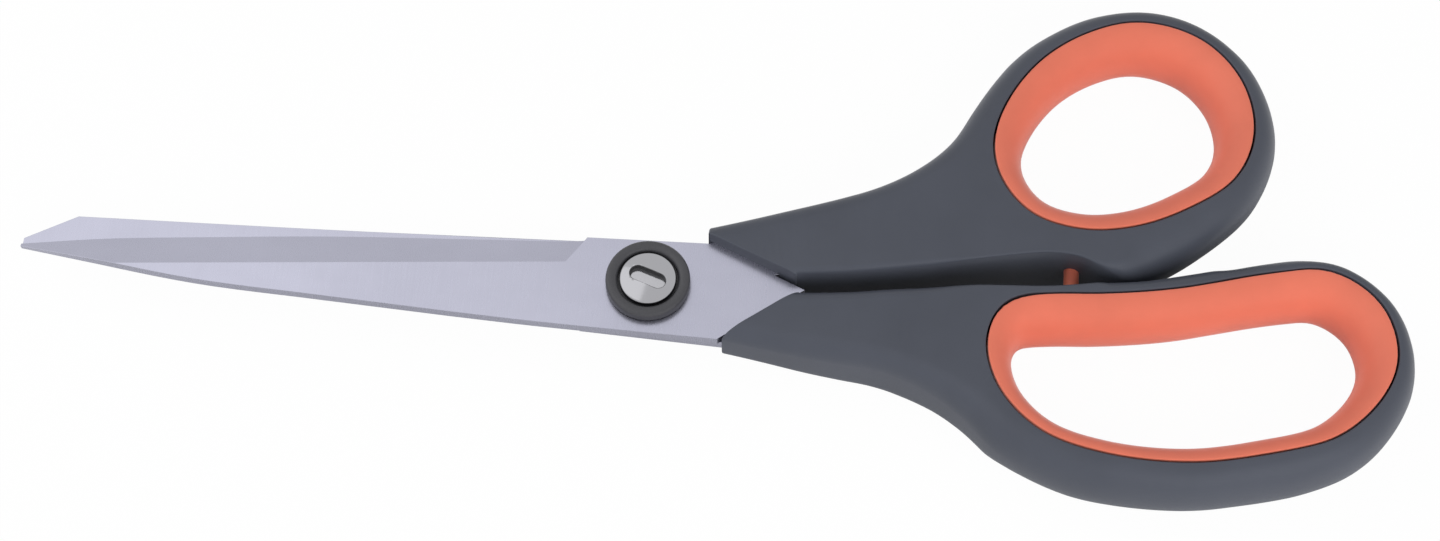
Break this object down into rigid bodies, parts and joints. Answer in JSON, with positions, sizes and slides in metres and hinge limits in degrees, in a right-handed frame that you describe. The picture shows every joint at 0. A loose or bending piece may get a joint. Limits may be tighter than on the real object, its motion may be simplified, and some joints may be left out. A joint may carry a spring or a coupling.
{
  "type": "household scissors",
  "caption": "Right-handed household scissors: ground steel blades on one slotted pivot screw, rigid V-ended handles with soft lined thumb and finger loops.",
  "frame": {"origin": "centre of the closed scissors' footprint, on the plane of the handles' backs", "axes": "+X from the blade tips towards the handles, +Y towards the thumb loop, +Z along the pivot towards the screw head"},
  "size_m": [0.2144, 0.0844, 0.012],
  "materials": {
    "ground_steel": "ground, fine grain across the blade",
    "handle_plastic": "satin charcoal",
    "grip_rubber": "soft matte coral",
    "bright_steel": "polished",
    "washer_plastic": "satin black"
  },
  "bodies": {
    "finger half": {"rear_blade": "ground_steel", "finger_handle": "handle_plastic", "finger_grip": "grip_rubber", "pivot_screw": "bright_steel", "pivot_nut": "bright_steel", "front_washer": "washer_plastic", "rear_washer": "washer_plastic"},
    "thumb half": {"front_blade": "ground_steel", "thumb_handle": "handle_plastic", "thumb_grip": "grip_rubber", "stop_bumper": "grip_rubber"}
  },
  "joints": [
    {"name": "pivot", "type": "hinge", "parent": "finger half", "child": "thumb half", "pos_m": [-0.00954, -0.01185, 0.006], "axis": [0, 0, 1], "range_deg": [0, 90]}
  ]
}
